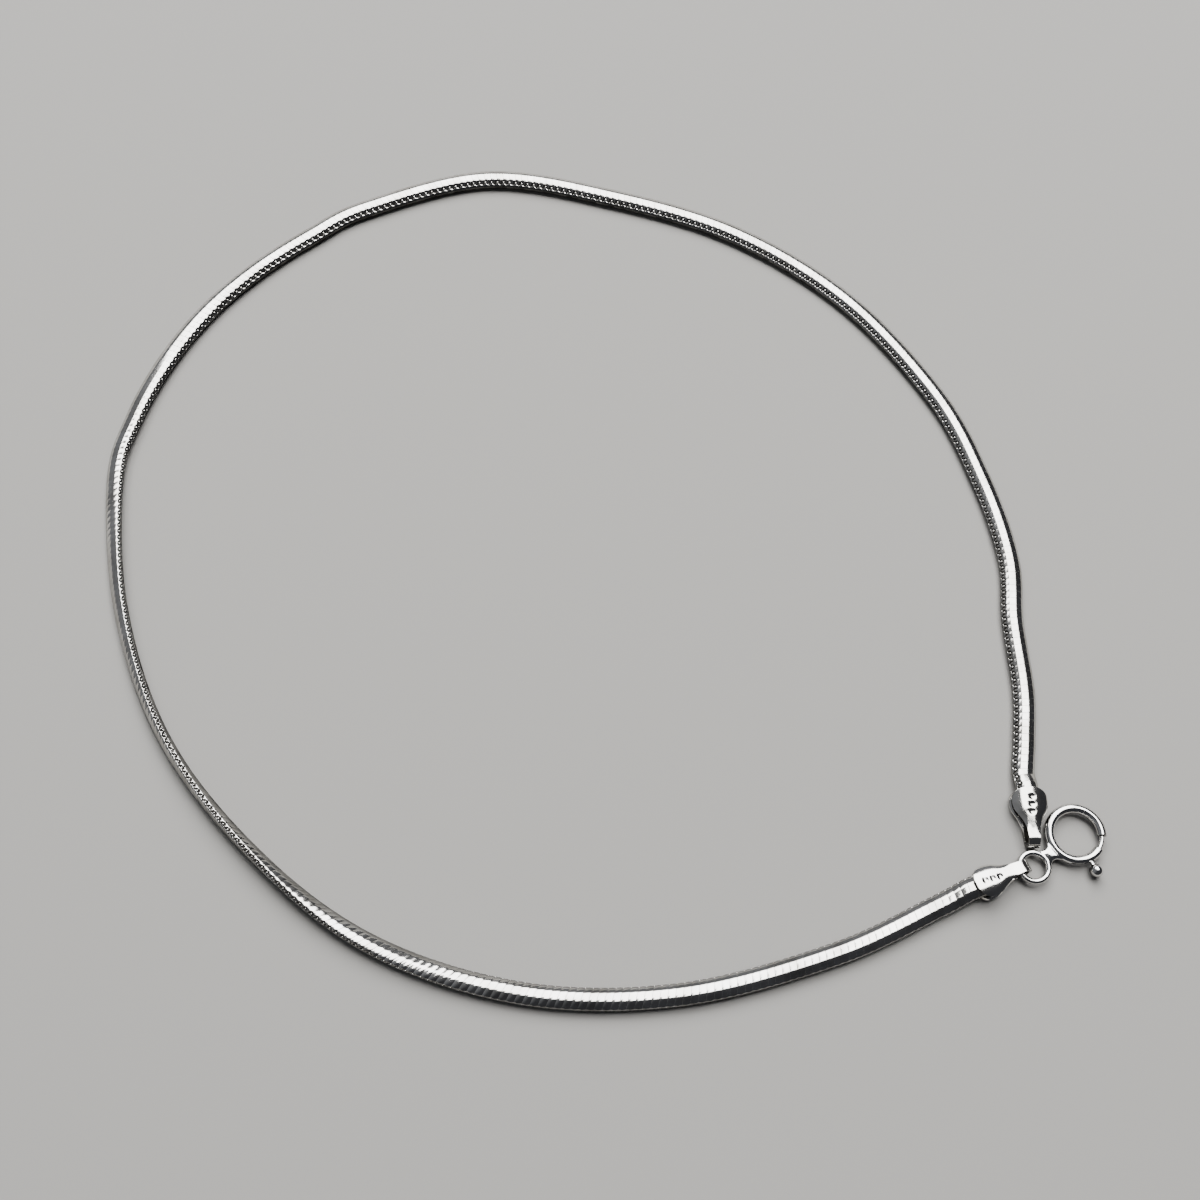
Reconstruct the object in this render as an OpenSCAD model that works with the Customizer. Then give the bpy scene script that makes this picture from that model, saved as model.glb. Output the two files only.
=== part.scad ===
// Oval snake chain lying open on a table, with a folded end cap on each end and a spring ring.
// Millimetres, +Z up. The origin is under the middle of the whole piece, on the table.

/* [Chain] */
// Width of the oval chain
chain_w = 3.1; // [2.6:0.1:3.6]
// Thickness of the oval chain
chain_t = 1.7; // [1.4:0.1:2.1]
// Length of chain held inside each end cap
chain_in = 2.4; // [1.6:0.1:2.6]

/* [End caps] */
// Length of an end cap from its mouth to its folded tip
cap_l = 7.8; // [7:0.1:9]
// Thickness of the metal of an end cap
cap_wall = 0.4; // [0.3:0.02:0.45]
// Room between the chain and the inside of an end cap
cap_clear = 0.1; // [0.06:0.01:0.2]
// Length of the round end of each bowl
mouth_l = 1.6; // [1:0.1:2]
// Extra width of the free end's bowls, which are pressed flatter
bowl_spread = 0.6; // [0:0.1:0.8]
// Width of the narrow strip at the tip
strip_w = 1.46; // [1.2:0.02:1.7]
// Height of the folded loop at the tip
fold_h = 2.4; // [2.2:0.05:2.8]

/* [Spring ring] */
// Outside diameter of the ring
ring_d = 8; // [7:0.1:9]
// Diameter of the ring's tube
tube_d = 1.24; // [1.1:0.02:1.4]
// Diameter of the sliding bolt
bolt_d = 0.65; // [0.5:0.01:0.7]
// Room around the bolt inside the tube
bolt_clear = 0.05; // [0.03:0.01:0.09]
// Width of the ring's opening, in degrees
gap_turn = 31; // [24:1:36]
// How far the closed bolt enters its socket, in degrees
seat_turn = 3; // [2:1:5]
// Length of bolt behind its trigger, in degrees
tail_turn = 16; // [12:1:20]
// Diameter of the trigger's stem
stem_d = 0.5; // [0.4:0.02:0.6]
// Room on each side of the stem in its slot
slot_clear = 0.06; // [0.04:0.01:0.12]
// Diameter of the trigger's ball
knob_d = 1.7; // [1.4:0.02:1.9]
// Space between the ring and the ball
knob_gap = 0.3; // [0.2:0.05:0.6]

/* [Eye] */
// Outside diameter of the eye
eye_d = 4.5; // [4:0.1:5]
// Diameter of the eye's wire
eye_wire_d = 0.8; // [0.6:0.02:0.84]
// Space between the ring and the eye, filled by the solder joint
eye_gap = 0.95; // [0.7:0.05:1.2]
// Thickness of the solder joint
joint_d = 1.1; // [0.9:0.02:1.2]
// Width of the solder joint
joint_w = 1.7; // [1.2:0.05:1.9]
// Room between the eye's wire and the cap that it holds
hook_clear = 0.08; // [0.04:0.01:0.12]
// Space between the eye and the tip of the free cap
tip_gap = 0.15; // [0.1:0.05:0.4]
// Width of the saw cut in the eye
eye_cut = 0.07; // [0.05:0.01:0.12]

/* [Rest] */
// Space under the end caps, so that the chain itself rests on the table
rest_room = 0.03; // [0.02:0.01:0.1]

/* [Hidden] */

// Where the chain lies, clockwise from the clasp: x, y and the roll of its oval section in degrees.
// At 0 the toothed edge faces the inside of the loop, and at 180 the outside.
route = [
    [48.9, -51.15, 171], [35.5, -57.1, 170], [16, -62, 168], [-4, -61.8, 165], [-23.1, -55.7, 140],
    [-39, -44, 106], [-51.9, -28.8, 76], [-59.8, -10.5, 52], [-63.1, 9, 28], [-61.6, 19.1, 16],
    [-58, 28.6, 6], [-52.9, 37.1, 2], [-46.4, 44.3, 0], [-38.5, 50.7, 0], [-30, 56, 0],
    [-11.5, 61.5, 0], [8.5, 57.8, 0], [27, 50.9, 0], [43, 39, 0], [54.9, 22.9, 0], [60.3, 9.2, 0],
    [62.9, -3, 0], [62.5, -12.5, 1], [62.85, -22.5, 1], [62.15, -29.5, 2], [61.55, -33.6, 2]
];

// Places and turns of the clasp on the table
ring_at = [67.3, -42];
eye_turn = -144;
cut_turn = -50;
gap_start = -4;
knob_turn = -66;
hook_turn = 190;
tip_turn = 88;
clasp_cap_turn = 21;
clasp_cap_roll = 172;
free_cap_turn = -90;
free_cap_roll = 2;
free_lead_turn = -93;

// The ring and its eye
ring_r = (ring_d - tube_d) / 2;
bore_r = bolt_d / 2 + bolt_clear;
gap_end = gap_start - gap_turn;
nose_turn = gap_start + seat_turn;
travel = gap_turn + seat_turn;
knob_r = ring_d / 2 + knob_gap + knob_d / 2;
stem_turn = asin((stem_d / 2 + slot_clear) / ring_r);
eye_r = (eye_d - eye_wire_d) / 2;
eye_reach = ring_d / 2 + eye_gap + eye_d / 2;
eye_at = ring_at + eye_reach * along(eye_turn);

// Thickness of the solder joint at the ring, as a share of the tube's diameter
JOINT_FOOT = 0.96;

// An end cap is a strip folded at its tip, with a round bowl at each end that grips the chain
cap_side = chain_w / 2 + cap_clear + cap_wall;
cap_top = chain_t / 2 + cap_clear + cap_wall;
fold_r = fold_h / 2;
fold_x = cap_l - fold_r;
bowl_arc = 60;
free_side = cap_side + bowl_spread / 2;
MOUTH_STEPS = 5;
MOUTH_START = 14;
FOLD_STEPS = 8;
SIDE_STEPS = 4;

// Sections of the cap behind its mouth, as shares: along from the end of the mouth to the fold,
// wide and high from the strip's size to the bowl's, and arch from flat to the bowl's full curve
cap_sections = [
    [0.14, 1.00, 1.00, 1.00],
    [0.30, 0.84, 0.97, 0.94],
    [0.42, 0.55, 0.88, 0.80],
    [0.54, 0.33, 0.68, 0.58],
    [0.66, 0.18, 0.42, 0.34],
    [0.80, 0.07, 0.14, 0.12],
    [1.00, 0.00, 0.00, 0.00]
];
WIDE = 1;
HIGH = 2;
ARCH = 3;

// Heights at which the caps and the ring rest on the table
clasp_tilt = cap_tilt(clasp_cap_roll, cap_side);
free_tilt = cap_tilt(free_cap_roll, free_side);
hook_floor = fold_rest(clasp_cap_roll) - (fold_r - cap_wall) / abs(cos(clasp_cap_roll))
    + strip_w / 2 * abs(tan(clasp_cap_roll));
ring_z = max(knob_d / 2, hook_floor + eye_wire_d / 2) + hook_clear;

// Each cap's fold stands around the eye or just clear of it, and its mouth follows from there
clasp_fold_at = eye_at + eye_r * along(hook_turn);
clasp_mouth = clasp_fold_at - fold_x * along(clasp_cap_turn);
free_fold_at = eye_at + (eye_d / 2 + tip_gap + fold_r) * along(tip_turn);
free_mouth = free_fold_at - fold_x * along(free_cap_turn);

// The chain's tube: sides around it, and steps between two points of the route
SIDES = 12;
STEPS = 4;
side_k = 1 / cos(180 / SIDES);

function along(turn) = [cos(turn), sin(turn)];
function mix(from, to, share) = from + (to - from) * share;

// How high the middle of a rolled bowl or fold stands above the table
function bowl_rest(roll, side) = rest_room + norm([side / sin(bowl_arc) * sin(roll), cap_top * cos(roll)]);
function fold_rest(roll) = rest_room + fold_r * abs(cos(roll)) + strip_w / 2 * abs(sin(roll));
function chain_rest(roll) = -min([for (k = [0:SIDES - 1]) section_point(k)[0] * sin(roll)
    + section_point(k)[1] * cos(roll)]);
function cap_tilt(roll, side) = asin((bowl_rest(roll, side) - fold_rest(roll)) / (fold_x - mouth_l));

// Height of a cap's axis at a distance from its mouth
function cap_axis_z(roll, tilt, x) = fold_rest(roll) + (fold_x - x) * sin(tilt);

// A corner of the chain's twelve-sided oval, which the true oval touches on every side
function section_point(k) = let (turn = (k + 0.5) * 360 / SIDES)
    [chain_w / 2 * side_k * cos(turn), chain_t / 2 * side_k * sin(turn)];

// A smooth curve through four neighbouring rows, at a share of the way from the second to the third
function smooth(a, b, c, d, t) = 0.5 * (2 * b + (c - a) * t + (2 * a - 5 * b + 4 * c - d) * t * t
    + (3 * b - a - 3 * c + d) * t * t * t);

// The row before or after a mouth that makes the chain leave its cap in a given direction
function lead_row(mouth, next, turn) =
    let (reach = 2 * norm([next[0] - mouth[0], next[1] - mouth[1]]) * along(turn))
    [next[0] + reach[0], next[1] + reach[1], next[2], next[3]];

// Rows of x, y, roll and lift above the table, from mouth to mouth
clasp_row = [clasp_mouth[0], clasp_mouth[1], clasp_cap_roll,
    cap_axis_z(clasp_cap_roll, clasp_tilt, 0) - chain_rest(clasp_cap_roll)];
free_row = [free_mouth[0], free_mouth[1], free_cap_roll,
    cap_axis_z(free_cap_roll, free_tilt, 0) - chain_rest(free_cap_roll)];
mid_rows = [for (p = route) [p[0], p[1], p[2], 0]];
rows = concat(
    [lead_row(clasp_row, mid_rows[0], clasp_cap_turn), clasp_row],
    mid_rows,
    [free_row, lead_row(free_row, mid_rows[len(mid_rows) - 1], free_lead_turn)]
);
spans = len(rows) - 3;
curve_rows = concat(
    [for (i = [0:spans - 1], k = [0:STEPS - 1])
        smooth(rows[i], rows[i + 1], rows[i + 2], rows[i + 3], k / STEPS)],
    [free_row]
);
curve_mid = [for (r = curve_rows) [r[0], r[1], chain_rest(r[2]) + max(0, r[3])]];

// The chain's middle line with both ends inside the caps, and the roll at each of its points
function inside_cap(mouth, turn, roll, tilt) = let (p = mouth + chain_in * along(turn))
    [p[0], p[1], cap_axis_z(roll, tilt, chain_in)];
mid_line = concat(
    [inside_cap(clasp_mouth, clasp_cap_turn, clasp_cap_roll, clasp_tilt)],
    curve_mid,
    [inside_cap(free_mouth, free_cap_turn, free_cap_roll, free_tilt)]
);
rolls = concat([clasp_cap_roll], [for (r = curve_rows) r[2]], [free_cap_roll]);
last = len(mid_line) - 1;

function unit(v) = v / norm(v);
function heading(i) = unit(mid_line[min(i + 1, last)] - mid_line[max(i - 1, 0)]);
function chain_ring(i) =
    let (
        ahead = heading(i),
        inward = unit([ahead[1], -ahead[0], 0]),
        up = cross(inward, ahead),
        across = cos(rolls[i]) * inward + sin(rolls[i]) * up,
        face = cos(rolls[i]) * up - sin(rolls[i]) * inward
    )
    [for (k = [0:SIDES - 1]) mid_line[i] + section_point(k)[0] * across + section_point(k)[1] * face];
chain_points = [for (i = [0:last]) each chain_ring(i)];

// The whole piece is moved so that its box has its middle over the origin and its foot at zero
low = [for (axis = [0:2]) min([for (p = chain_points) p[axis]])];
high = [for (axis = [0:2]) max([for (p = chain_points) p[axis]])];
right_edge = max(high[0], ring_at[0] + ring_d / 2);
place = [-(low[0] + right_edge) / 2, -(low[1] + high[1]) / 2, -low[2]];

// Faces of a skin over rings of n points each, closed at both ends
function skin_faces(n, count) = concat(
    [[for (k = [0:n - 1]) k]],
    [for (i = [0:count - 2], k = [0:n - 1])
        let (a = i * n + k, b = i * n + (k + 1) % n) each [[a, a + n, b], [b, a + n, b + n]]],
    [[for (k = [n - 1:-1:0]) (count - 1) * n + k]]
);

// Rows of a cap along its folded strip: base x, direction, height, half width, arc and arch
function mouth_row(i, turn, side) =
    let (open = mix(MOUTH_START, 90, i / (MOUTH_STEPS - 1)))
    [mouth_l * (1 - cos(open)), turn, cap_top, side / sin(bowl_arc), asin(sin(open) * sin(bowl_arc)), 1];
function body_row(s, turn, side) = [
    mix(mouth_l, fold_x, s[0]), turn, mix(fold_r, cap_top, s[HIGH]),
    mix(strip_w / 2, side, s[WIDE]) / sin(bowl_arc), bowl_arc, s[ARCH]
];
function fold_row(i) = [
    fold_x, mix(90, -90, i / FOLD_STEPS), fold_r, strip_w / 2 / sin(bowl_arc), bowl_arc, 0
];
function half_rows(turn, side) = concat(
    [for (i = [0:MOUTH_STEPS - 1]) mouth_row(i, turn, side)],
    [for (s = cap_sections) body_row(s, turn, side)]
);
function cap_rows(side) = let (under = half_rows(-90, side)) concat(
    half_rows(90, side),
    [for (i = [1:FOLD_STEPS - 1]) fold_row(i)],
    [for (r = [len(under) - 1:-1:0]) under[r]]
);

// A point of a cap's section: share from -1 to 1 across it, on its outside or one wall further in
function cap_point(row, share, inside) =
    let (
        s = row[4] * share,
        side = row[3] * sin(s),
        rise = row[2] * (1 - row[5] * (1 - cos(s))),
        normal = unit([row[2] * row[5] * sin(s), row[3] * cos(s)]),
        flat = [side, rise] - (inside ? cap_wall : 0) * normal
    )
    [row[0] + flat[1] * cos(row[1]), flat[0], flat[1] * sin(row[1])];
function cap_ring(row) = concat(
    [for (k = [-SIDE_STEPS:SIDE_STEPS]) cap_point(row, k / SIDE_STEPS, false)],
    [for (k = [SIDE_STEPS:-1:-SIDE_STEPS]) cap_point(row, k / SIDE_STEPS, true)]
);

module snake_chain() {
    color("silver")
        translate(place)
            polyhedron(chain_points, skin_faces(SIDES, last + 1));
}

// One folded end cap, with its mouth at the origin and its tip along +X
module folded_cap(side) {
    rows = cap_rows(side);
    polyhedron([for (r = rows) each cap_ring(r)], skin_faces(4 * SIDE_STEPS + 2, len(rows)));
}

module placed_cap(mouth, turn, roll, tilt, lean, side) {
    translate(place + [mouth[0], mouth[1], cap_axis_z(roll, tilt, 0)])
        rotate([0, tilt, turn])
            rotate([lean, 0, 0])
                folded_cap(side);
}

module cap_clasp_end() {
    color("lightgray")
        placed_cap(clasp_mouth, clasp_cap_turn, clasp_cap_roll, clasp_tilt, clasp_cap_roll - 180, cap_side);
}

module cap_free_end() {
    color("lightgray")
        placed_cap(free_mouth, free_cap_turn, free_cap_roll, free_tilt, -free_cap_roll, free_side);
}

// A round bar bent about the ring's axis, from one turn to another
module bent_bar(bar_r, from, to) {
    rotate([0, 0, to])
        rotate_extrude(angle = from - to, $fn = 96)
            translate([ring_r, 0])
                circle(r = bar_r, $fn = 32);
}

// The slot through the ring's outer wall in which the trigger's stem slides
module stem_slot() {
    rotate([0, 0, knob_turn - travel - stem_turn])
        rotate_extrude(angle = travel + 2 * stem_turn, $fn = 96)
            translate([ring_r, -stem_d / 2 - slot_clear])
                square([tube_d, stem_d + 2 * slot_clear]);
}

// One side of the solder joint, thicker towards the ring
module joint_side() {
    half_l = (eye_gap + tube_d / 2 + eye_wire_d / 2) / 2;
    rotate([0, 90, 0]) {
        cylinder(d1 = JOINT_FOOT * tube_d, d2 = joint_d, h = half_l, $fn = 32);
        translate([0, 0, half_l])
            cylinder(d = joint_d, h = half_l, $fn = 32);
    }
}

// The broad solder joint between the ring and its eye
module solder_joint() {
    rotate([0, 0, eye_turn])
        translate([ring_r, 0, 0])
            for (side = [-1, 1])
                translate([0, side * (joint_w - joint_d) / 2, 0])
                    joint_side();
}

module eye() {
    cut_half = asin(eye_cut / 2 / eye_r);
    rotate([0, 0, eye_turn])
        translate([eye_reach, 0, 0])
            rotate([0, 0, cut_turn - eye_turn + cut_half])
                rotate_extrude(angle = 360 - 2 * cut_half, $fn = 72)
                    translate([eye_r, 0])
                        circle(d = eye_wire_d, $fn = 32);
}

module at_ring() {
    translate(place + [ring_at[0], ring_at[1], ring_z])
        children();
}

module spring_ring() {
    color("silver")
        at_ring()
            difference() {
                union() {
                    bent_bar(tube_d / 2, gap_end + 360, gap_start);
                    solder_joint();
                    eye();
                }
                bent_bar(bore_r, gap_end + 361, gap_start - 1);
                stem_slot();
            }
}

module clasp_bolt() {
    color("gainsboro")
        at_ring() {
            bent_bar(bolt_d / 2, nose_turn, knob_turn - tail_turn);
            rotate([0, 0, knob_turn]) {
                translate([ring_r, 0, 0])
                    rotate([0, 90, 0])
                        cylinder(d = stem_d, h = knob_r - ring_r, $fn = 32);
                translate([knob_r, 0, 0])
                    sphere(d = knob_d, $fn = 48);
            }
        }
}

snake_chain();
cap_clasp_end();
cap_free_end();
spring_ring();
clasp_bolt();
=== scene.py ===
# %% [markdown]
# # An oval snake chain with a spring ring
#
# The solids of this neck chain already give every place and size: a plain tube for the chain, two
# folded end caps, a spring ring and its bolt. This script dresses them. The tube becomes some 400
# rows of interlocking links, the caps and the clasp get their soft polished forms, and each surface
# gets its own silver. Lengths are typed in millimetres, as at the bench, and become metres only where
# a mesh is made.

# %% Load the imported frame
import math
import bpy
import bmesh
import numpy as np
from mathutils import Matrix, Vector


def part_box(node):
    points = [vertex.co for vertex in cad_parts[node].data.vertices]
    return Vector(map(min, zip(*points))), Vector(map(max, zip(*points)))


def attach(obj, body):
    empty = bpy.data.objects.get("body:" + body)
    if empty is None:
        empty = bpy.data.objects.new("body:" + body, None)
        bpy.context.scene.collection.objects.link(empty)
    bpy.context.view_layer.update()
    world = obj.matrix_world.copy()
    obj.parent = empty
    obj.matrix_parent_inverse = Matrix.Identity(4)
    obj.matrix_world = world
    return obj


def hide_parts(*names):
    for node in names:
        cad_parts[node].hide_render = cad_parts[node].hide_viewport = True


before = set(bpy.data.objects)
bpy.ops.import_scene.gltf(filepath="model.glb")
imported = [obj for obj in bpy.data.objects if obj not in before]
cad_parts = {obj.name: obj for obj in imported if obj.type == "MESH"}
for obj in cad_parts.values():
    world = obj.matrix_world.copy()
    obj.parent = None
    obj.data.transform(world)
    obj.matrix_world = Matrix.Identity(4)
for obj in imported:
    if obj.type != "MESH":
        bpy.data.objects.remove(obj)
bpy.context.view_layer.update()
MM = 0.001
print("nodes:", sorted(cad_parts))

# %% [markdown]
# ## The chain's section
#
# The real chain is an oval tube of links, pressed a little flat on top and below. An ellipse would be
# the quickest section, but it is too round on top and catches the light in too thin a line. So a short
# table draws one quarter of the oval, which is then eased and mirrored. Each of its rows has a turn in
# degrees, and the height there as a share of the half thickness. The oval stays a hair inside the
# solid's section.

# %% The oval
CHAIN_W, CHAIN_T = 3.1, 1.7
ROOM = 0.03
HEIGHTS = np.array([
    [0, 0.0], [11.3, 0.15], [25.4, 0.36], [39.3, 0.565], [54.5, 0.77], [66.4, 0.93], [70.4, 0.975],
    [74.3, 0.995], [80, 1.0], [90, 1.0],
])
quarter = np.linspace(0, 90, 181)
rough_height = np.interp(quarter, HEIGHTS[:, 0], HEIGHTS[:, 1])
mirrored = np.concatenate([-rough_height[:0:-1], rough_height, rough_height[-2::-1]])
easing = np.hanning(15) / np.hanning(15).sum()
soft_height = np.convolve(mirrored, easing, "same")[180:361]


def rim(turn_deg):
    """Across and out-of-face parts of a point on the section, for any turn in degrees."""
    t = np.radians(turn_deg)
    folded = np.degrees(np.arcsin(np.abs(np.sin(t))))
    high = np.interp(folded, quarter, soft_height) * np.sign(np.sin(t))
    return np.stack([(CHAIN_W / 2 - ROOM) * np.cos(t), (CHAIN_T / 2 - ROOM) * high], axis=-1)


print("section", np.round(2 * rim(0.0)[0], 2), "by", np.round(2 * rim(90.0)[1], 2), "mm")

# %% Points under the oval
SIDE_STEP = 0.7


def unit(v):
    return v / np.linalg.norm(v, axis=-1, keepdims=True)


def oval(turn_deg, sink):
    """A point of the section, sunk under it by some millimetres."""
    step = rim(turn_deg + SIDE_STEP) - rim(turn_deg - SIDE_STEP)
    normal = unit(np.stack([step[..., 1], -step[..., 0]], axis=-1))
    return rim(turn_deg) - sink[..., None] * normal


# %% [markdown]
# A real link has the same teeth wherever they lie on the oval, but a degree of turn covers less metal
# at the narrow sides than on the flat ones. The table below turns a share of the girth into a turn, so
# that the teeth keep their size.

# %% Even steps round the oval
ALL_TURNS = np.arange(-360, 721)
turn_steps = np.linalg.norm(np.diff(rim(ALL_TURNS), axis=0), axis=1)
all_round = np.concatenate([[0], np.cumsum(turn_steps)])
girth = all_round[720] - all_round[360]
print("girth of the section", round(girth, 2), "mm")


def go_round(start, share):
    """The turn reached from another one by a share of the girth, which is given in degrees."""
    reached = np.interp(start, ALL_TURNS, all_round) + share / 360 * girth
    return np.interp(reached, all_round, ALL_TURNS)


# %% [markdown]
# ## Where the clasp lies
#
# The real spring ring lies flat on the table, and its small eye ties it to the chain. It could be put
# there by eye, but then it would miss its solid. So the places are worked out from the same few sizes
# as the solids are, and the box of the ring's solid tells how far all of them were moved to stand over
# the origin.

# %% Turns in degrees
def along(turn):
    return np.array([math.cos(math.radians(turn)), math.sin(math.radians(turn))])


def sin_d(deg):
    return math.sin(math.radians(deg))


def cos_d(deg):
    return math.cos(math.radians(deg))


# %% The ring and its eye, seen from above
RING_D, TUBE_D = 8.0, 1.24
EYE_D, EYE_WIRE_D, EYE_GAP = 4.5, 0.8, 0.95
RING_AT, EYE_TURN = np.array([67.3, -42.0]), -144
RING_R = (RING_D - TUBE_D) / 2
EYE_R = (EYE_D - EYE_WIRE_D) / 2
EYE_REACH = RING_D / 2 + EYE_GAP + EYE_D / 2

ring_high = np.array(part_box("spring_ring")[1][:2]) / MM
SHIFT = ring_high - (RING_AT + RING_D / 2)
eye_at = RING_AT + EYE_REACH * along(EYE_TURN)
print("moved by", np.round(SHIFT, 3), "mm")

# %% [markdown]
# ## How the end caps lie
#
# A real end cap is thick at its bowl and thinner at its fold, so it rests on both and leans a little.
# The lean could be typed in, but it would be wrong as soon as a size or the cap's roll changed. So it
# is worked out from the heights at which the bowl and the fold rest.

# %% Sizes of a cap
CAP_L, CAP_WALL, CAP_CLEAR, MOUTH_L, BOWL_SPREAD = 7.8, 0.4, 0.1, 1.6, 0.6
STRIP_W, FOLD_H = 1.46, 2.4
BOWL_ARC = math.radians(60)
FOLD_R = FOLD_H / 2
FOLD_X = CAP_L - FOLD_R
CAP_SIDE = CHAIN_W / 2 + CAP_CLEAR + CAP_WALL
FREE_SIDE = CAP_SIDE + BOWL_SPREAD / 2
CAP_TOP = CHAIN_T / 2 + CAP_CLEAR + CAP_WALL
print("bowls", round(2 * CAP_SIDE, 2), "and", round(2 * FREE_SIDE, 2), "mm wide")

# %% Height and lean of a cap
REST_ROOM = 0.03


def bowl_rest(roll, side):
    return REST_ROOM + math.hypot(side / math.sin(BOWL_ARC) * sin_d(roll), CAP_TOP * cos_d(roll))


def fold_rest(roll):
    return REST_ROOM + FOLD_R * abs(cos_d(roll)) + STRIP_W / 2 * abs(sin_d(roll))


def cap_tilt(roll, side):
    return math.degrees(math.asin((bowl_rest(roll, side) - fold_rest(roll)) / (FOLD_X - MOUTH_L)))


def cap_axis_z(roll, side, x):
    return fold_rest(roll) + (FOLD_X - x) * sin_d(cap_tilt(roll, side))


# %% Mouths of the caps and height of the ring
CLASP_CAP_TURN, CLASP_CAP_ROLL = 21, 172
FREE_CAP_TURN, FREE_CAP_ROLL = -90, 2
HOOK_TURN, HOOK_CLEAR = 190, 0.08
TIP_TURN, TIP_GAP = 88, 0.15
KNOB_D = 1.7

hook_floor = (fold_rest(CLASP_CAP_ROLL) - (FOLD_R - CAP_WALL) / abs(cos_d(CLASP_CAP_ROLL))
              + STRIP_W / 2 * abs(math.tan(math.radians(CLASP_CAP_ROLL))))
RING_Z = max(KNOB_D / 2, hook_floor + EYE_WIRE_D / 2) + HOOK_CLEAR
clasp_mouth = eye_at + EYE_R * along(HOOK_TURN) - FOLD_X * along(CLASP_CAP_TURN)
free_mouth = (eye_at + (EYE_D / 2 + TIP_GAP + FOLD_R) * along(TIP_TURN)
              - FOLD_X * along(FREE_CAP_TURN))
print("ring height", round(RING_Z, 3), "mm")

# %% [markdown]
# ## The chain's route
#
# A snake chain is springy. It lies on the table in one smooth line and rolls slowly from its flat face
# to its narrow side and back. A simulation would find some rest, but hardly this one, so the route is
# a list of measured rows. It runs clockwise from the clasp. Each row has x, y and the roll of the oval
# in degrees. The last two columns are for the links: the turn of the toothed seam, from 0 where it
# faces the inside of the loop over 90 on top to 180 outside, and the slant of the joints.

# %% Rows of the route
ROUTE = [
    [48.9, -51.15, 171, 188, 12], [35.5, -57.1, 170, 188, 14], [16, -62, 168, 188, 15],
    [-4, -61.8, 165, 186, 20], [-23.1, -55.7, 140, 150, 28], [-39, -44, 106, 90, 27],
    [-51.9, -28.8, 76, 70, 20], [-59.8, -10.5, 52, 61, 16], [-63.1, 9, 28, 56, 12],
    [-61.6, 19.1, 16, 54, 10], [-58, 28.6, 6, 50, 8], [-52.9, 37.1, 2, 54, 8],
    [-46.4, 44.3, 0, 64, 8], [-38.5, 50.7, 0, 64, 8], [-30, 56, 0, 64, 8], [-11.5, 61.5, 0, 64, 8],
    [8.5, 57.8, 0, 64, 8], [27, 50.9, 0, 64, 8], [43, 39, 0, 64, 8], [54.9, 22.9, 0, 60, 8],
    [60.3, 9.2, 0, 54, 8], [62.9, -3, 0, 52, 8], [62.5, -12.5, 1, 52, 8], [62.85, -22.5, 1, 54, 8],
    [62.15, -29.5, 2, 56, 8], [61.55, -33.6, 2, 56, 8],
]
print("route of", len(ROUTE), "rows")

# %% How high the rolled chain stands
RIM = rim(np.arange(0, 360, 2))


def chain_rest(roll):
    """The height of the section's middle over the table, when the chain just touches it."""
    return float(-np.min(RIM[:, 0] * sin_d(roll) + RIM[:, 1] * cos_d(roll)))


print("flat", round(chain_rest(0), 2), "mm, on its narrow side", round(chain_rest(90), 2), "mm")

# %% [markdown]
# ## The chain's middle line
#
# The real chain leaves each cap in the cap's own direction and then bends evenly. A curve object
# could draw this, but the roll and the seam have to follow too. So all columns of the route go through
# one smooth curve, which is measured closely. The links are then set along it at an even pitch, each
# with its own direction and roll.

# %% Rows from cap to cap
FREE_LEAD_TURN = -93


def mouth_row(mouth, roll, side, seam, slant):
    return [mouth[0], mouth[1], roll, cap_axis_z(roll, side, 0) - chain_rest(roll), seam, slant]


def lead_row(mouth, nearest, turn):
    """A row beyond a mouth, which gives the curve its direction there."""
    reach = 2 * np.hypot(nearest[0] - mouth[0], nearest[1] - mouth[1]) * along(turn)
    return [nearest[0] + reach[0], nearest[1] + reach[1]] + nearest[2:]


clasp_row = mouth_row(clasp_mouth, CLASP_CAP_ROLL, CAP_SIDE, seam=188, slant=10)
free_row = mouth_row(free_mouth, FREE_CAP_ROLL, FREE_SIDE, seam=64, slant=8)
mid_rows = [[x, y, roll, 0.0, seam, slant] for x, y, roll, seam, slant in ROUTE]
rows = np.array([lead_row(clasp_row, mid_rows[0], CLASP_CAP_TURN), clasp_row] + mid_rows
                + [free_row, lead_row(free_row, mid_rows[-1], FREE_LEAD_TURN)])
print("with both mouths", len(rows), "rows")

# %% The smooth line
CHAIN_IN = 2.4
BETWEEN_ROWS = 60


def smooth(a, b, c, d, t):
    """The way from b to c on the even curve through four rows."""
    return 0.5 * (2 * b + (c - a) * t + (2 * a - 5 * b + 4 * c - d) * t ** 2
                  + (3 * b - a - 3 * c + d) * t ** 3)


def inside_cap(mouth, turn, side, row):
    p = mouth + CHAIN_IN * along(turn)
    return [p[0], p[1], row[2], cap_axis_z(row[2], side, CHAIN_IN), row[4], row[5]]


fine = [smooth(*rows[i:i + 4], t) for i in range(len(rows) - 3)
        for t in np.linspace(0, 1, BETWEEN_ROWS, False)]
fine.append(rows[-2])
line = [[x, y, roll, chain_rest(roll) + max(0.0, lift), seam, slant]
        for x, y, roll, lift, seam, slant in fine]
line = np.array([inside_cap(clasp_mouth, CLASP_CAP_TURN, CAP_SIDE, clasp_row)] + line
                + [inside_cap(free_mouth, FREE_CAP_TURN, FREE_SIDE, free_row)])
spots = np.column_stack([line[:, 0] + SHIFT[0], line[:, 1] + SHIFT[1], line[:, 3]])
run = np.concatenate([[0], np.cumsum(np.linalg.norm(np.diff(spots, axis=0), axis=1))])
print("chain length", round(run[-1], 1), "mm, in sight", round(run[-1] - 2 * CHAIN_IN, 1))

# %% Directions along the line
LOOK_AHEAD = 0.6


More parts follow.
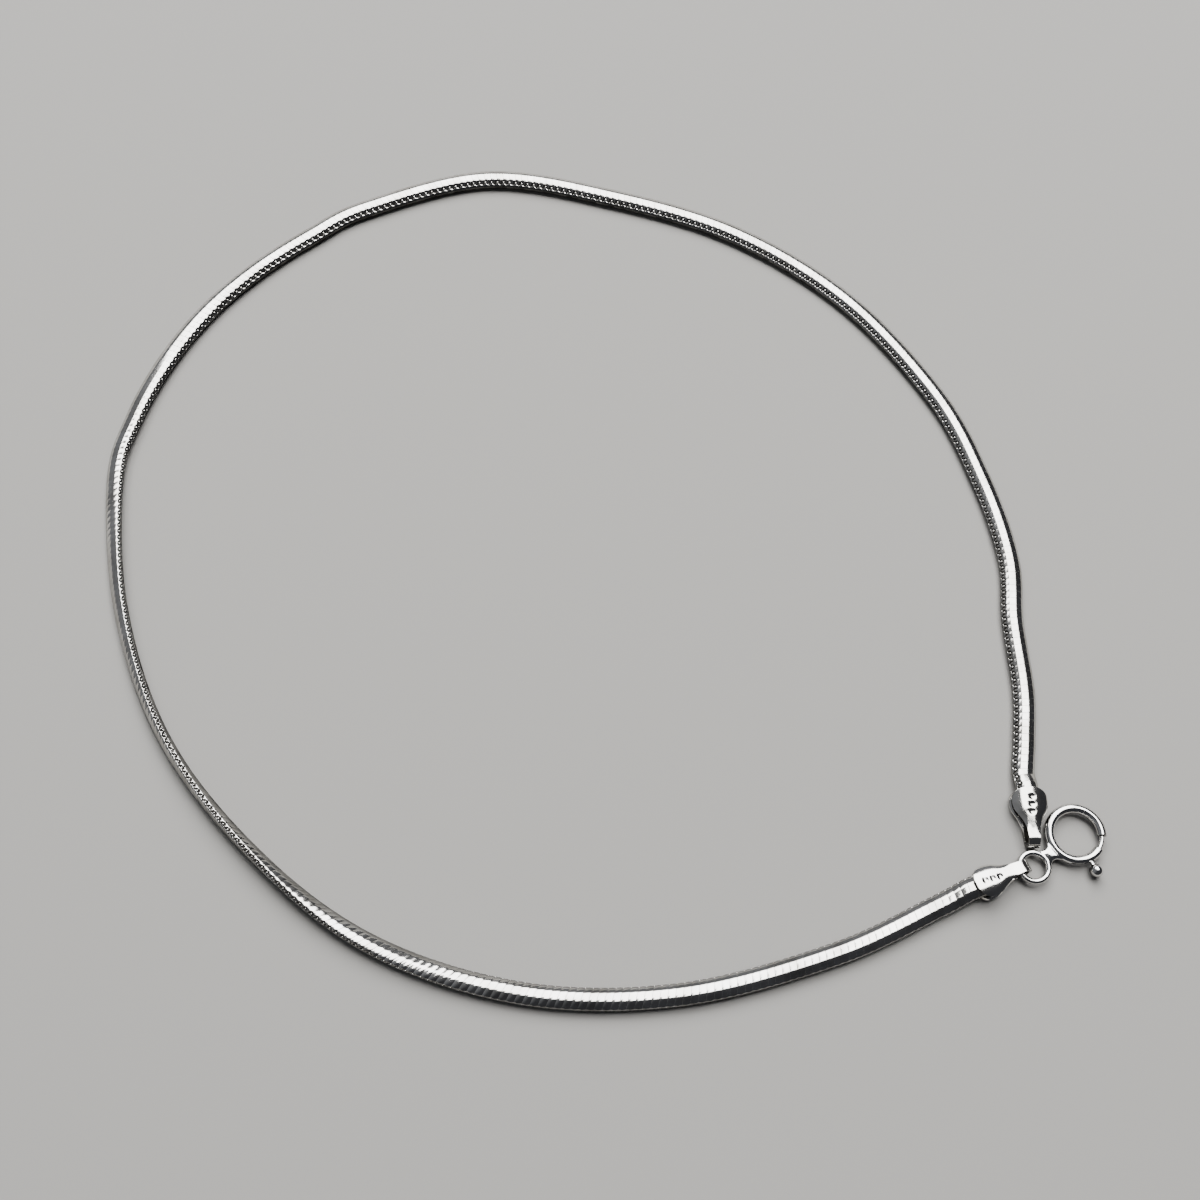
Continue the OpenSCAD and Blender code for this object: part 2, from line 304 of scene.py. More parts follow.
def chain_frames(s):
    """Places, the way across and the way out of the upper face at distances s."""
    place = np.column_stack([np.interp(s, run, spots[:, k]) for k in range(3)])
    ahead = unit(np.column_stack([
        np.interp(s + LOOK_AHEAD, run, spots[:, k]) - np.interp(s - LOOK_AHEAD, run, spots[:, k])
        for k in range(3)]))
    roll = np.radians(np.interp(s, run, line[:, 2]))[:, None]
    inward = unit(np.column_stack([ahead[:, 1], -ahead[:, 0], np.zeros(len(s))]))
    up = np.cross(inward, ahead)
    across = np.cos(roll) * inward + np.sin(roll) * up
    face = np.cos(roll) * up - np.sin(roll) * inward
    return place, across, face


def seam_and_slant(s):
    """Where on the oval the seam lies at distances s, in degrees, and the slant as a slope."""
    roll, seam, slant = (np.interp(s, run, line[:, k]) for k in (2, 4, 5))
    out = np.radians(seam - roll)
    at = np.arctan2(CHAIN_T * np.sin(out), CHAIN_W * np.cos(out))
    return np.degrees(at), np.tan(np.radians(slant))


# %% [markdown]
# ## From points to pieces
#
# Each piece below is worked out as rows of points. Modelling by hand would do for one cap, but not
# for 800 plates, and its sizes couldn't be followed. So one helper joins rows of points by faces, one
# closes their ends, and one makes the mesh, in metres, with numbers at its points for the material.

# %% Mesh helpers
def grid_faces(rings, around, closed=True):
    """Faces between rings of points, which run all the way round or stay open."""
    i = np.arange(rings - 1)[:, None]
    k = np.arange(around if closed else around - 1)[None, :]
    a = i * around + k
    b = i * around + (k + 1) % around
    return np.stack([a, b, b + around, a + around], axis=-1).reshape(-1, 4)


def closed_mesh(points):
    """Points and faces of a form from its rings, with a face on both ends."""
    rings, around = points.shape[:2]
    faces = [list(f) for f in grid_faces(rings, around)]
    faces += [list(range(around))[::-1], list(range((rings - 1) * around, rings * around))]
    return points.reshape(-1, 3), faces


def add_piece(name, points, faces, body, node, marks=None):
    mesh = bpy.data.meshes.new(name)
    mesh.from_pydata((np.asarray(points) * MM).tolist(), [], [tuple(f) for f in faces])
    mesh.update()
    mesh.polygons.foreach_set("use_smooth", [True] * len(mesh.polygons))
    for key, values in (marks or {}).items():
        layer = mesh.attributes.new(key, "FLOAT", "POINT")
        layer.data.foreach_set("value", np.asarray(values, dtype=np.float32))
    piece = bpy.data.objects.new(name, mesh)
    bpy.context.scene.collection.objects.link(piece)
    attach(piece, body)
    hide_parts(node)
    print(name, len(mesh.vertices), "points")
    return piece


# %% [markdown]
# ## The links
#
# Each real link is two bent plates that wrap the oval from one seam to the other. Their narrow ears
# alternate with those of the plates from the other side, and dive under their shoulders, which is
# what holds such a chain together. A bumpy material on the tube would be quick, but its outline would
# stay smooth and no joint would have depth. So every plate is made, each one from the same rows of
# points. A row has its turn from the seam's middle, its half length as a share of the pitch, and how
# deep it is sunk.

# %% The outline of a plate
PITCH, PLATE = 0.97, 0.24
BODY_HALF = 0.497
EAR = [
    [-18, 0.08, 0.30], [-14, 0.12, 0.24], [-11, 0.14, 0.13], [-9, 0.16, 0.045], [-6, 0.175, 0.008],
    [0, 0.185, 0.0], [7, 0.195, 0.0], [11, 0.27, 0.0], [14, 0.41, 0.0], [18, 0.49, 0.0],
]
BODY = [25, 31, 36, 41, 46, 52, 59, 67, 75, 83, 90, 97, 105, 113, 121, 128, 134, 139, 144, 149, 155]
plate_rows = np.array(EAR + [[turn, BODY_HALF, 0.0] for turn in BODY]
                      + [[180 - turn, half, sunk] for turn, half, sunk in reversed(EAR)])
row_turn, row_half, row_sunk = plate_rows[:, 0], plate_rows[:, 1] * PITCH, plate_rows[:, 2]
print("a plate has", len(plate_rows), "rows")

# %% [markdown]
# The edges of the real plates are rounded by tumbling. A bevel on each of 800 plates would be slow,
# so seven points lie across every row. The outer two stand at the bottom of the joint. A wide body is
# flat up to a fine rounded edge, and a narrow ear is domed, which makes it a small bright bead.

# %% Points across a plate
ACROSS = 7
EAR_ENDS, EAR_FADES = 0.48, 0.28
BODY_INNER, EAR_PULL = 0.95, 0.35
EDGE_ROUND = np.array([0, 0.010, 0.002, 0, 0.002, 0.010, 0])
EAR_DOME = np.array([0, 0.10, 0.022, 0, 0.022, 0.10, 0])
JOINT_DEEP = np.array([PLATE, 0, 0, 0, 0, 0, PLATE])

ear_share = np.clip((EAR_ENDS * PITCH - row_half) / (EAR_FADES * PITCH), 0, 1)[:, None]
inner = BODY_INNER - EAR_PULL * ear_share
outer = np.ones(inner.shape)
across_share = np.concatenate([-outer, -outer, -inner, 0 * outer, inner, outer, outer], axis=1)
plate_along = across_share * row_half[:, None]
print("a plate has", plate_along.size, "points")

# %% [markdown]
# Where the real chain stands on its narrow side, its joints slant more and the teeth open, so the
# light picks out each ear. The bottoms of the joints get painted shade, and so do the ears near the
# free end, where the seam lies low. Each plate could be opened and painted by hand. Here both follow
# from the slant and the seam in the route, so they change smoothly along the chain.

# %% Openings and painted shade
EARS_NARROW = 0.3
BODY_OPEN, EAR_OPEN = (0.3, 1.2), (1, 2.3)
LOW_SEAM, LOW_FADE, NEAR_FREE_END, EAR_SHADE = 62, 9, 0.6, 0.55


def joint_opening(slope):
    """How open the joints between bodies and those between ears are, for each plate's slant."""
    bodies = np.clip(4 * slope - 0.3, *BODY_OPEN)
    ears = np.clip(1 + 5 * (slope - 0.15), *EAR_OPEN)
    return bodies[:, None, None], ears[:, None, None]


def plate_shade_paint(s, sunk):
    """Painted shade at each point, from 0 for clean silver to 1 at the bottom of a joint; low ears get
    some.
    """
    # Ears near the free end whose seam lies low get painted shade as well.
    low = np.clip((LOW_SEAM - np.interp(s, run, line[:, 4])) / LOW_FADE, 0, 1)
    low_ear_shade = (low * (s > NEAR_FREE_END * run[-1]))[:, None, None]
    return np.maximum(np.clip(sunk / PLATE, 0, 1), EAR_SHADE * low_ear_shade * ear_share)


# %% [markdown]
# The second half of the plates is the first turned by half a turn, and set half a pitch further, so
# that the ears of both halves alternate. Each plate has its own tone, since no two are polished alike.

# %% All plates of one half
FIRST_AT, TONE_SEED = 0.3, 7


def plate_piece(name, start, half_turn):
    s = np.arange(start, run[-1], PITCH)
    seam, slope = seam_and_slant(s)
    open_bodies, open_ears = joint_opening(slope)
    sunk = (row_sunk[:, None] + JOINT_DEEP + EDGE_ROUND * (1 - ear_share) * open_bodies
            + EAR_DOME * ear_share * open_ears)
    turned = go_round(seam[:, None, None], half_turn + row_turn[None, :, None])
    spot = oval(turned + np.zeros((1, 1, ACROSS)), sunk).reshape(len(s), -1, 2)
    side, rise = spot[..., 0], spot[..., 1]
    reach = plate_along * (1 - EARS_NARROW * ear_share * (open_ears - 1))
    at = s[:, None] + reach.reshape(len(s), -1) + slope[:, None] * side
    place, across, face = chain_frames(at.ravel())
    points = place + side.reshape(-1, 1) * across + rise.reshape(-1, 1) * face
    one = grid_faces(len(plate_rows), ACROSS, closed=False)
    faces = (one[None, :, :] + plate_along.size * np.arange(len(s))[:, None, None]).reshape(-1, 4)
    tone = np.random.default_rng(TONE_SEED + half_turn).uniform(0, 1, len(s))
    return add_piece(name, points, faces, "chain", "snake_chain", marks={
        "shade_paint": plate_shade_paint(s, sunk).ravel(), "tone": np.repeat(tone, plate_along.size)})


links_a = plate_piece("links_first_half", FIRST_AT, 0)
links_b = plate_piece("links_second_half", FIRST_AT + PITCH / 2, 180)

# %% [markdown]
# Through the joints of the real chain one sees its shaded inside, where the plates overlap. With
# nothing there, the table would show through. Full plates inside would never be seen, so a plain
# sleeve, dark with painted shade, lies just under them.

# %% Sleeve under the plates
SLEEVE_SIDES, SLEEVE_RINGS, SLEEVE_DEEP = 20, 420, 0.27


def sleeve_rings():
    place, across, face = chain_frames(np.linspace(0, run[-1], SLEEVE_RINGS))
    turns = np.arange(SLEEVE_SIDES) * 360 / SLEEVE_SIDES
    core = oval(turns, np.full(SLEEVE_SIDES, SLEEVE_DEEP))
    return (place[:, None, :] + core[None, :, 0, None] * across[:, None, :]
            + core[None, :, 1, None] * face[:, None, :])


core_piece = add_piece("link_core", *closed_mesh(sleeve_rings()), "chain", "snake_chain")

# %% [markdown]
# ## The end caps
#
# A real cap is one strip of silver sheet. Its two ends are pressed into round bowls, and the strip is
# folded over, so that the bowls grip the chain and the fold holds the eye. It could be carved out of
# a block, but its even wall and open sides come by themselves when it is made like the real one. So
# its rows run along the strip, from one mouth round the fold to the other, and a second surface under
# the first gives the sheet its thickness.

# %% From bowl to strip
# The way from the bowl to the fold as a share, then the shares of the bowl's width, height and arch.
CAP_SECTIONS = np.array([
    [0.00, 1.00, 1.00, 1.00], [0.14, 1.00, 1.00, 1.00], [0.30, 0.84, 0.97, 0.94],
    [0.42, 0.55, 0.88, 0.80], [0.54, 0.33, 0.68, 0.58], [0.66, 0.18, 0.42, 0.34],
    [0.80, 0.07, 0.14, 0.12], [1.00, 0.00, 0.00, 0.00],
])
SPREAD = np.linspace(-0.06, 0.06, 7)


def mix(a, b, share):
    return a + (b - a) * share


def soft_table(share, column):
    """The table's column, eased over a little way to both sides so that no row shows."""
    at = np.clip(share + SPREAD, 0, 1)
    return float(np.mean(np.interp(at, CAP_SECTIONS[:, 0], CAP_SECTIONS[:, column])))


# %% Rows of the folded strip
# A row has its distance from the mouth, its turn about the fold, its height, width and arc, and how
# much it is arched.
MOUTH_ROWS, NECK_ROWS, FOLD_ROWS = 20, 56, 22
MOUTH_FROM = 14


def half_cap(turn, side):
    wide_bowl = side / math.sin(BOWL_ARC)
    made = []
    for opening in np.radians(np.linspace(MOUTH_FROM, 90, MOUTH_ROWS)):
        arc = math.asin(math.sin(opening) * math.sin(BOWL_ARC))
        made.append([MOUTH_L * (1 - math.cos(opening)), turn, CAP_TOP, wide_bowl, arc, 1.0])
    for share in np.linspace(0, 1, NECK_ROWS)[1:]:
        wide, high, arch = (soft_table(share, c) for c in (1, 2, 3))
        made.append([mix(MOUTH_L, FOLD_X, share), turn, mix(FOLD_R, CAP_TOP, high),
                     mix(STRIP_W / 2, side, wide) / math.sin(BOWL_ARC), BOWL_ARC, arch])
    return made


def strip_rows(side):
    fold = [[FOLD_X, t, FOLD_R, STRIP_W / 2 / math.sin(BOWL_ARC), BOWL_ARC, 0.0]
            for t in np.linspace(90, -90, FOLD_ROWS)[1:-1]]
    return np.array(half_cap(90, side) + fold + half_cap(-90, side)[::-1])


print("a cap has", len(strip_rows(CAP_SIDE)), "rows")

# %% [markdown]
# Three plain round dimples are punched into the top of each cap, as a punch leaves them: deepest in
# the middle, with a soft rim. A bump would do from above, but it would vanish at a low angle, so the
# sheet itself is pushed in. The dimples are less deep than the sheet is thick.

# %% Surfaces of a cap
DIMPLES = [[1.35, 0.1], [2.35, -0.02], [3.3, -0.1]]
DIMPLE_R, DIMPLE_DEEP = 0.46, 0.16
CAP_STEPS = 23
shares = np.linspace(-1, 1, CAP_STEPS)


def dimple_depth(base, side):
    deep = np.zeros(side.shape)
    for at, off in DIMPLES:
        far = np.hypot(base - at, side - off) / DIMPLE_R
        deep = deep + DIMPLE_DEEP * np.clip(1 - far ** 2, 0, 1) ** 1.5
    return deep


def cap_surface(cap_rows, inside):
    base, turn, high, wide, arc, arch = (cap_rows[:, k][:, None] for k in range(6))
    s = arc * shares[None, :]
    side = wide * np.sin(s)
    rise = high * (1 - arch * (1 - np.cos(s)))
    normal = unit(np.stack([high * arch * np.sin(s), wide * np.cos(s)], axis=-1))
    dents = np.where(turn == 90, dimple_depth(base, side), 0)
    sink = np.full(side.shape, CAP_WALL) if inside else dents
    side = side - sink * normal[..., 0]
    rise = rise - sink * normal[..., 1]
    turn = np.radians(turn)
    return np.stack([base + rise * np.cos(turn), side, rise * np.sin(turn)], axis=-1)


# %% Turn and soften a cap
CAP_EDGE = 0.07


def turn_about(axis, deg):
    c, s = cos_d(deg), sin_d(deg)
    return np.array({
        "x": [[1, 0, 0], [0, c, -s], [0, s, c]],
        "y": [[c, 0, s], [0, 1, 0], [-s, 0, c]],
        "z": [[c, -s, 0], [s, c, 0], [0, 0, 1]]}[axis])


def soften(piece, width):
    """Rounds the sharp edges of a sheet, as tumbling does."""
    bevel = piece.modifiers.new("soft edges", "BEVEL")
    bevel.width = width * MM
    bevel.segments = 3
    bevel.limit_method = "ANGLE"
    bevel.angle_limit = math.radians(50)


# %% Both caps
def cap_piece(name, node, mouth, turn, roll, lean, side):
    cap_rows = strip_rows(side)
    sheet = np.concatenate(
        [cap_surface(cap_rows, inside=False), cap_surface(cap_rows, inside=True)[:, ::-1]], axis=1)
    points, faces = closed_mesh(sheet)
    turned = points @ turn_about("x", lean).T
    turned = turned @ turn_about("y", cap_tilt(roll, side)).T @ turn_about("z", turn).T
    spot = np.array([mouth[0] + SHIFT[0], mouth[1] + SHIFT[1], cap_axis_z(roll, side, 0)])
    piece = add_piece(name, turned + spot, faces, "chain", node)
    soften(piece, CAP_EDGE)
    return piece


cap_a = cap_piece("cap_clasp_end_soft", "cap_clasp_end", clasp_mouth, CLASP_CAP_TURN, CLASP_CAP_ROLL,
                  CLASP_CAP_ROLL - 180, CAP_SIDE)
cap_b = cap_piece("cap_free_end_soft", "cap_free_end", free_mouth, FREE_CAP_TURN, FREE_CAP_ROLL,
                  -FREE_CAP_ROLL, FREE_SIDE)

# %% [markdown]
# ## The spring ring and its bolt
#
# A real spring ring is a bent tube with a gap in it. A small eye of wire is soldered on, and a bolt
# slides in the bore, moved by a ball that stands out of a slot. Joining the forms with booleans alone
# would leave hard creases where the solder flows. So they are built closed and simple, cut, and then
# melted into one fine even mesh and relaxed, which gives the joint its fillets and every end its soft
# edge.

# %% Bars and tubes
ROUND = 28
NOSE_RINGS = 8
FULLER = 0.6


def tube_points(centres, normals, binormals, radii, around=ROUND):
    a = np.linspace(0, 2 * math.pi, around, False)
    return (centres[:, None, :] + radii[:, None, None] * (
        np.cos(a)[None, :, None] * normals[:, None, :]
        + np.sin(a)[None, :, None] * binormals[:, None, :]))


def bent_tube(radius, bar_r, start, end, steps, round_end=False):
    """A bar bent about the ring's axis; round_end gives its first end a half-round nose."""
    turns = np.radians(np.linspace(start, end, steps))
    radii = np.full(steps, bar_r)
    if round_end:
        nose = np.linspace(0, math.pi / 2, NOSE_RINGS)[:-1]
        way = math.copysign(1, end - start)
        ahead = turns[0] + way * bar_r / radius * (1 - np.cos(nose))
        turns = np.concatenate([ahead, turns[turns * way > turns[0] * way + bar_r / radius]])
        radii = np.concatenate([bar_r * np.maximum(0.02, np.sin(nose)),
                                np.full(len(turns) - len(nose), bar_r)])
    out = np.column_stack([np.cos(turns), np.sin(turns), np.zeros(len(turns))])
    up = np.tile([0.0, 0.0, 1.0], (len(turns), 1))
    return closed_mesh(tube_points(radius * out, out, up, radii))


def flared_bar(direction, stations):
    """Rings of distance, half width and half height along a direction from the ring's centre.

    The rings are fuller than an ellipse, as a blob of solder is."""
    way = np.array([*along(direction), 0.0])
    side = np.array([-way[1], way[0], 0.0])
    a = np.linspace(0, 2 * math.pi, ROUND, False)
    wide, high = ((np.sign(part) * np.abs(part) ** FULLER)[:, None] for part in (np.cos(a), np.sin(a)))
    return closed_mesh(np.array([
        way * d + w * wide * side + h * high * np.array([0, 0, 1.0]) for d, w, h in stations]))


# %% Parts for melting
def temp_object(parts):
    """One object, for a short while, from the points and faces of several closed forms."""
    mesh = bpy.data.meshes.new("part")
    points, faces, base = [], [], 0
    for p, f in parts:
        points.append(p)
        faces += [[i + base for i in face] for face in f]
        base += len(p)
    mesh.from_pydata((np.concatenate(points) * MM).tolist(), [], faces)
    mesh.update()
    bm = bmesh.new()
    bm.from_mesh(mesh)
    bmesh.ops.recalc_face_normals(bm, faces=bm.faces)
    bm.to_mesh(mesh)
    bm.free()
    obj = bpy.data.objects.new("part", mesh)
    bpy.context.scene.collection.objects.link(obj)
    return obj


def settle(obj):
    """Applies an object's modifiers and gives back its points and faces, in millimetres."""
    shown = obj.evaluated_get(bpy.context.evaluated_depsgraph_get())
    mesh = shown.to_mesh()
    points = np.array([v.co for v in mesh.vertices]) / MM
    faces = [list(p.vertices) for p in mesh.polygons]
    shown.to_mesh_clear()
    return points, faces


# %% Melt closed forms into one
def melt(obj, voxel):
    even = obj.modifiers.new("melt", "REMESH")
    even.mode = "VOXEL"
    even.voxel_size = voxel * MM


def cast(add_parts, cut_parts, voxel, relax):
    """The union of closed forms, less others, remeshed and relaxed into one soft solid."""
    body = temp_object(add_parts)
    melt(body, voxel)
    cutters = [temp_object([part]) for part in cut_parts]
    for cutter in cutters:
        cut = body.modifiers.new("cut", "BOOLEAN")
        cut.operation = "DIFFERENCE"
        cut.solver = "EXACT"
        cut.object = cutter
    if cutters:
        melt(body, voxel)
    ease = body.modifiers.new("relax", "SMOOTH")
    ease.factor = 0.5
    ease.iterations = relax
    made = settle(body)
    for obj in [body] + cutters:
        bpy.data.objects.remove(obj)
    return made


# %% [markdown]
# The ring's tube stops short of a full turn to leave the opening. The real eye is a loop of wire with
# a fine saw cut, and the solder between them is broad at both ends, where it has run along the metal.

# %% Tube, solder joint and eye
GAP_START, GAP_TURN = -4, 31
CUT_TURN, EYE_CUT = -50, 0.07
RING_STEPS, EYE_STEPS = 120, 90
JOINT = [
    [0.35, 1.45, 0.46], [0.58, 1.25, 0.52], [0.80, 1.04, 0.53], [1.05, 0.92, 0.52],
    [1.3, 0.88, 0.50], [1.55, 0.94, 0.46], [1.8, 1.06, 0.41], [1.95, 1.10, 0.38],
]
gap_end = GAP_START - GAP_TURN
ring_bar = bent_tube(RING_R, TUBE_D / 2, GAP_START, gap_end + 360, RING_STEPS)
joint_bar = flared_bar(EYE_TURN, [[RING_R + out, wide, high] for out, wide, high in JOINT])

eye_c = EYE_REACH * np.array([*along(EYE_TURN), 0.0])
cut_half = math.degrees(math.asin(EYE_CUT / 2 / EYE_R))
eye_turns = np.radians(np.linspace(CUT_TURN + cut_half, CUT_TURN + 360 - cut_half, EYE_STEPS))
eye_out = np.column_stack([np.cos(eye_turns), np.sin(eye_turns), np.zeros(EYE_STEPS)])
eye_bar = closed_mesh(tube_points(
    eye_c + EYE_R * eye_out, eye_out, np.tile([0.0, 0, 1], (EYE_STEPS, 1)),
    np.full(EYE_STEPS, EYE_WIRE_D / 2)))
print("the ring opens by", GAP_TURN, "degrees")

# %% Bore and slot
BOLT_D, BOLT_CLEAR, SEAT_TURN = 0.65, 0.05, 3
STEM_D, SLOT_CLEAR, KNOB_TURN = 0.5, 0.06, -66
SLOT_STEPS, BORE_OVER = 30, 3
bore = bent_tube(RING_R, BOLT_D / 2 + BOLT_CLEAR, GAP_START - BORE_OVER, gap_end + 360 + BORE_OVER,
                 RING_STEPS)

travel = GAP_TURN + SEAT_TURN
slot_half = STEM_D / 2 + SLOT_CLEAR
slot_end = math.degrees(math.asin(slot_half / RING_R))
slot_turns = np.radians(np.linspace(KNOB_TURN - travel - slot_end, KNOB_TURN + slot_end, SLOT_STEPS))
slot_corners = ((RING_R, -slot_half), (RING_R + TUBE_D, -slot_half),
                (RING_R + TUBE_D, slot_half), (RING_R, slot_half))
slot = closed_mesh(np.array([
    [[math.cos(t) * r, math.sin(t) * r, z] for r, z in slot_corners] for t in slot_turns]))
print("the ball travels", travel, "degrees")

# %% The ring with its eye
ring_spot = np.array([RING_AT[0] + SHIFT[0], RING_AT[1] + SHIFT[1], RING_Z])
points, faces = cast([ring_bar, joint_bar, eye_bar], [bore, slot], voxel=0.05, relax=4)
ring_piece = add_piece("spring_ring_soft", points + ring_spot, faces, "chain", "spring_ring")

# %% [markdown]
# The real bolt is a bent wire with a rounded nose, and its stem ends in the ball that the thumb moves.
# It could be one mesh with the ring, but it slides, so it is melted in the same way on its own and
# rides on its own body.

# %% The bolt with its trigger
TAIL_TURN, KNOB_GAP = 16, 0.3
BOLT_STEPS, BALL_RINGS, BALL_ROUND = 60, 33, 40
KNOB_R = RING_D / 2 + KNOB_GAP + KNOB_D / 2
bolt_bar = bent_tube(RING_R, BOLT_D / 2, GAP_START + SEAT_TURN, KNOB_TURN - TAIL_TURN, BOLT_STEPS,
                     round_end=True)
stem_bar = flared_bar(KNOB_TURN, [
    [RING_R - 0.1, STEM_D / 2, STEM_D / 2], [RING_D / 2 + KNOB_GAP - 0.05, STEM_D / 2, STEM_D / 2],
    [RING_D / 2 + KNOB_GAP + 0.12, STEM_D / 2 + 0.12, STEM_D / 2 + 0.12],
    [KNOB_R, STEM_D / 2 + 0.15, STEM_D / 2 + 0.15]])

tilt = np.linspace(0, math.pi, BALL_RINGS)
level = np.zeros(BALL_RINGS)
knob_c = KNOB_R * np.array([*along(KNOB_TURN), 0.0])
ball = closed_mesh(tube_points(
    knob_c + np.column_stack([level, level, KNOB_D / 2 * np.cos(tilt)]),
    np.tile([1.0, 0, 0], (BALL_RINGS, 1)), np.tile([0.0, 1, 0], (BALL_RINGS, 1)),
    np.maximum(0.01, KNOB_D / 2 * np.sin(tilt)), around=BALL_ROUND))
points, faces = cast([bolt_bar, stem_bar, ball], [], voxel=0.045, relax=3)
bolt_piece = add_piece("clasp_bolt_soft", points + ring_spot, faces, "bolt", "clasp_bolt")

# %% [markdown]
# ## Silver
#
# The whole necklace is sterling silver, and its parts differ in how they were formed and worn. A
# picture of silver could be wrapped round them, but it would carry its own reflections along. So one
# recipe of nodes serves all of them: clean bright metal with dulled clouds, the fine scratches of
# polishing, and a soft unevenness from forming. Sides that face down are painted darker, as painted
# shade, and nearest the table it is a matt film. Scales come from the real size of each mark in
# millimetres.

# %% Node helper
def linear(code):
    parts = [int(code[k:k + 2], 16) / 255 for k in (1, 3, 5)]
    return [c / 12.92 if c <= 0.04045 else ((c + 0.055) / 1.055) ** 2.4 for c in parts] + [1.0]


def add_node(tree, kind, settings=None, links=None, stops=()):
    """A node with its settings, its incoming links and, on a colour ramp, its stops."""
    node = tree.nodes.new(kind)
    for key, value in (settings or {}).items():
        if isinstance(key, int) or key in node.inputs:
            node.inputs[key].default_value = value
        else:
            setattr(node, key, value)
    for key, source in (links or {}).items():
        tree.links.new(source, node.inputs[key])
    for k, (at, code) in enumerate(stops):
        stop = node.color_ramp.elements[k]
        stop.position = at
        stop.color = linear(code)
    return node


# %% Recipe for silver
CLOUD_MM = 2.5
# Real polishing scratches are a few thousandths of a millimetre apart, which no render of the whole
# chain shows. They are drawn far coarser, at about a tenth of a link's length.
SCRATCH_MM = 0.09
FILM_ROUGH = 0.5
CLEAN_SHINE = 0.5


def silver(name, bright, dull, under, rough, wave, scratch_high, shade_edge, film_edge):
    """A polished silver with clouds, painted shade below and a film near the table.

    rough has the roughness between and in the scratches, and wave the length and height of the soft
    unevenness. The two edges give how far a surface's normal points up where the painted shade and the
    film end."""
    mat = bpy.data.materials.new(name)
    mat.use_nodes = True
    tree = mat.node_tree
    shader = tree.nodes["Principled BSDF"]
    coordinates = add_node(tree, "ShaderNodeTexCoord")
    where = {"Vector": coordinates.outputs["Object"]}
    up = add_node(tree, "ShaderNodeSeparateXYZ",
                  links={"Vector": coordinates.outputs["Normal"]}).outputs["Z"]
    clouds = add_node(tree, "ShaderNodeTexNoise", {"Scale": 1 / (CLOUD_MM * MM), "Detail": 3.0}, where)
    scratches = add_node(tree, "ShaderNodeTexNoise",
                         {"Scale": 1 / (SCRATCH_MM * MM), "Detail": 4.0}, where)
    waves = add_node(tree, "ShaderNodeTexNoise", {"Scale": 1 / (wave[0] * MM), "Detail": 1.0}, where)

    clouded = add_node(tree, "ShaderNodeValToRGB", links={"Fac": clouds.outputs["Fac"]},
                       stops=[(0.3, dull), (0.62, bright)])
    # Sides that face down are mixed towards the under colour, as painted shade.
    upward_share = add_node(tree, "ShaderNodeMapRange",
                      {"From Min": shade_edge[0], "From Max": shade_edge[1]}, {"Value": up})
    colour = add_node(tree, "ShaderNodeMix", {"data_type": "RGBA", 6: linear(under)},
                      {0: upward_share.outputs["Result"], 7: clouded.outputs["Color"]})
    tree.links.new(colour.outputs[2], shader.inputs["Base Color"])

    bare = add_node(tree, "ShaderNodeMapRange",
                    {"From Min": film_edge[0], "From Max": film_edge[1]}, {"Value": up})
    bare = bare.outputs["Result"]
    tree.links.new(bare, shader.inputs["Metallic"])
    shine = add_node(tree, "ShaderNodeMath", {"operation": "MULTIPLY", 1: CLEAN_SHINE}, {0: bare})
    tree.links.new(shine.outputs[0], shader.inputs["Specular IOR Level"])

    scratched = add_node(tree, "ShaderNodeMapRange",
                         {"From Min": 0.3, "From Max": 0.7, "To Min": rough[0], "To Max": rough[1]},
                         {"Value": scratches.outputs["Fac"]})
    film = add_node(tree, "ShaderNodeMapRange", {"To Min": FILM_ROUGH, "To Max": 0.0}, {"Value": bare})
    blur = add_node(tree, "ShaderNodeMath", {"operation": "ADD"},
                    {0: film.outputs["Result"], 1: scratched.outputs["Result"]})
    tree.links.new(blur.outputs[0], shader.inputs["Roughness"])

    soft = add_node(tree, "ShaderNodeBump", {"Strength": 1.0, "Distance": wave[1] * MM},
                    {"Height": waves.outputs["Fac"]})
    fine_marks = add_node(tree, "ShaderNodeBump", {"Strength": 1.0, "Distance": scratch_high * MM},
                          {"Height": scratches.outputs["Fac"], "Normal": soft.outputs["Normal"]})
    tree.links.new(fine_marks.outputs["Normal"], shader.inputs["Normal"])
    return mat


# %% Put a silver on its pieces
def dress(pieces, material):
    for piece in pieces:
        piece.data.materials.append(material)
    print(material.name, "on", len(pieces), "pieces")


# %% [markdown]
# ### The links: polished sterling silver
#
# The plates are stamped, bent and polished as a whole chain by tumbling. Each joint is darkened
# with painted shade. It could be painted on by a texture, but the plates already know how deep each
# of their points lies, so the painted shade follows that number.

# %% Painted shade in the joints
SHADE_FROM, SHADE_FULL, SHADE_ROUGH = 0.25, 0.9, 0.55
TONE_RANGE = 0.16


